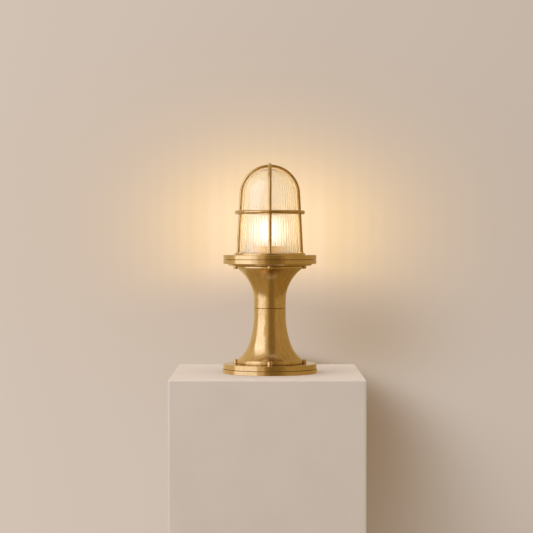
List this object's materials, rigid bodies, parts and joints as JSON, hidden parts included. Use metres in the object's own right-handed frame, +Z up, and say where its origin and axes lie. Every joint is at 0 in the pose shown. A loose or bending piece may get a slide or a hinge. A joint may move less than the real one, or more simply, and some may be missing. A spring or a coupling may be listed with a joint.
{
  "type": "post lantern",
  "caption": "Brass post lantern: stepped round foot, waisted column in two castings, ribbed glass dome under a crossed wire guard, and an opal screw-in bulb inside.",
  "frame": {"origin": "centre of the foot's underside", "axes": "+Z up along the column to the crown of the guard; -Y is the front seen in the picture; the two guard bars lie in the XZ and YZ planes"},
  "size_m": [0.14, 0.14, 0.3106],
  "materials": {
    "brass": "satin, lightly aged",
    "bright_brass": "turned, bright",
    "nickel": "nickel plated",
    "copper": "spring copper alloy",
    "rubber": "matt",
    "clear_glass": "clear, ribbed inside",
    "opal_glass": "opal, lit",
    "porcelain": "glazed white",
    "black_insulator": "vitrified black",
    "light_rod": "lit phosphor coat",
    "white_plastic": "matt",
    "brown_sleeve": "silicone sleeve",
    "blue_sleeve": "silicone sleeve",
    "green_sleeve": "silicone sleeve"
  },
  "bodies": {
    "lamp_body": {"base_plate": "brass", "base_gasket": "rubber", "base_ring": "brass", "lower_column": "brass", "lower_lug_screws": "bright_brass", "neck_coupling": "bright_brass", "upper_column": "brass", "upper_lug_screws": "bright_brass", "column_gasket": "rubber", "gallery": "brass", "ring_seal": "rubber", "glass_seat": "rubber", "holder_bracket": "nickel", "bracket_screws": "nickel", "holder_nipple": "bright_brass", "nipple_nut": "bright_brass", "holder_cap": "brass", "holder_skirt": "brass", "holder_porcelain": "porcelain", "holder_screw_shell": "copper", "holder_centre_contact": "copper", "holder_terminals": "bright_brass", "holder_terminal_screws": "nickel", "gland_body": "nickel", "gland_seal": "rubber", "gland_nut": "nickel", "terminal_block": "white_plastic", "block_screw": "nickel", "terminal_clamps": "bright_brass", "terminal_screws": "bright_brass", "earth_stud": "bright_brass", "earth_nut": "bright_brass", "earth_tag": "nickel", "bracket_earth_tag": "nickel", "bracket_earth_screw": "bright_brass", "live_lead": "brown_sleeve", "neutral_lead": "blue_sleeve", "earth_lead": "green_sleeve"},
    "glass": {"glass_dome": "clear_glass"},
    "slip_ring": {"slip_washer": "rubber"},
    "guard": {"guard_ring": "brass", "guard_bar_side": "brass", "guard_bar_front": "brass", "guard_hoop": "brass"},
    "bulb_carrier": {"bulb_tip": "nickel"},
    "bulb": {"bulb_insulator": "black_insulator", "bulb_cap": "nickel", "bulb_globe": "opal_glass", "bulb_stem": "clear_glass", "bulb_filaments": "light_rod", "bulb_lead_wires": "nickel"}
  },
  "joints": [
    {"name": "glass_lift", "type": "slide", "parent": "lamp_body", "child": "glass", "axis": [0, 0, 1], "range_m": [0, 0.15]},
    {"name": "ring_rise", "type": "slide", "parent": "glass", "child": "slip_ring", "axis": [0, 0, 1], "range_m": [0, 0.004]},
    {"name": "guard_turn", "type": "hinge", "parent": "slip_ring", "child": "guard", "pos_m": [0, 0, 0.168], "axis": [0, 0, 1], "range_deg": [0, 720]},
    {"name": "bulb_rise", "type": "slide", "parent": "lamp_body", "child": "bulb_carrier", "axis": [0, 0, 1], "range_m": [0, 0.0181]},
    {"name": "bulb_turn", "type": "hinge", "parent": "bulb_carrier", "child": "bulb", "pos_m": [0, 0, 0.17], "axis": [0, 0, 1], "range_deg": [0, 1800]}
  ],
  "couplings": [
    {"joint": "ring_rise", "follows": "guard_turn", "m_per_rad": 0.0003183},
    {"joint": "bulb_rise", "follows": "bulb_turn", "m_per_rad": 0.000576}
  ]
}
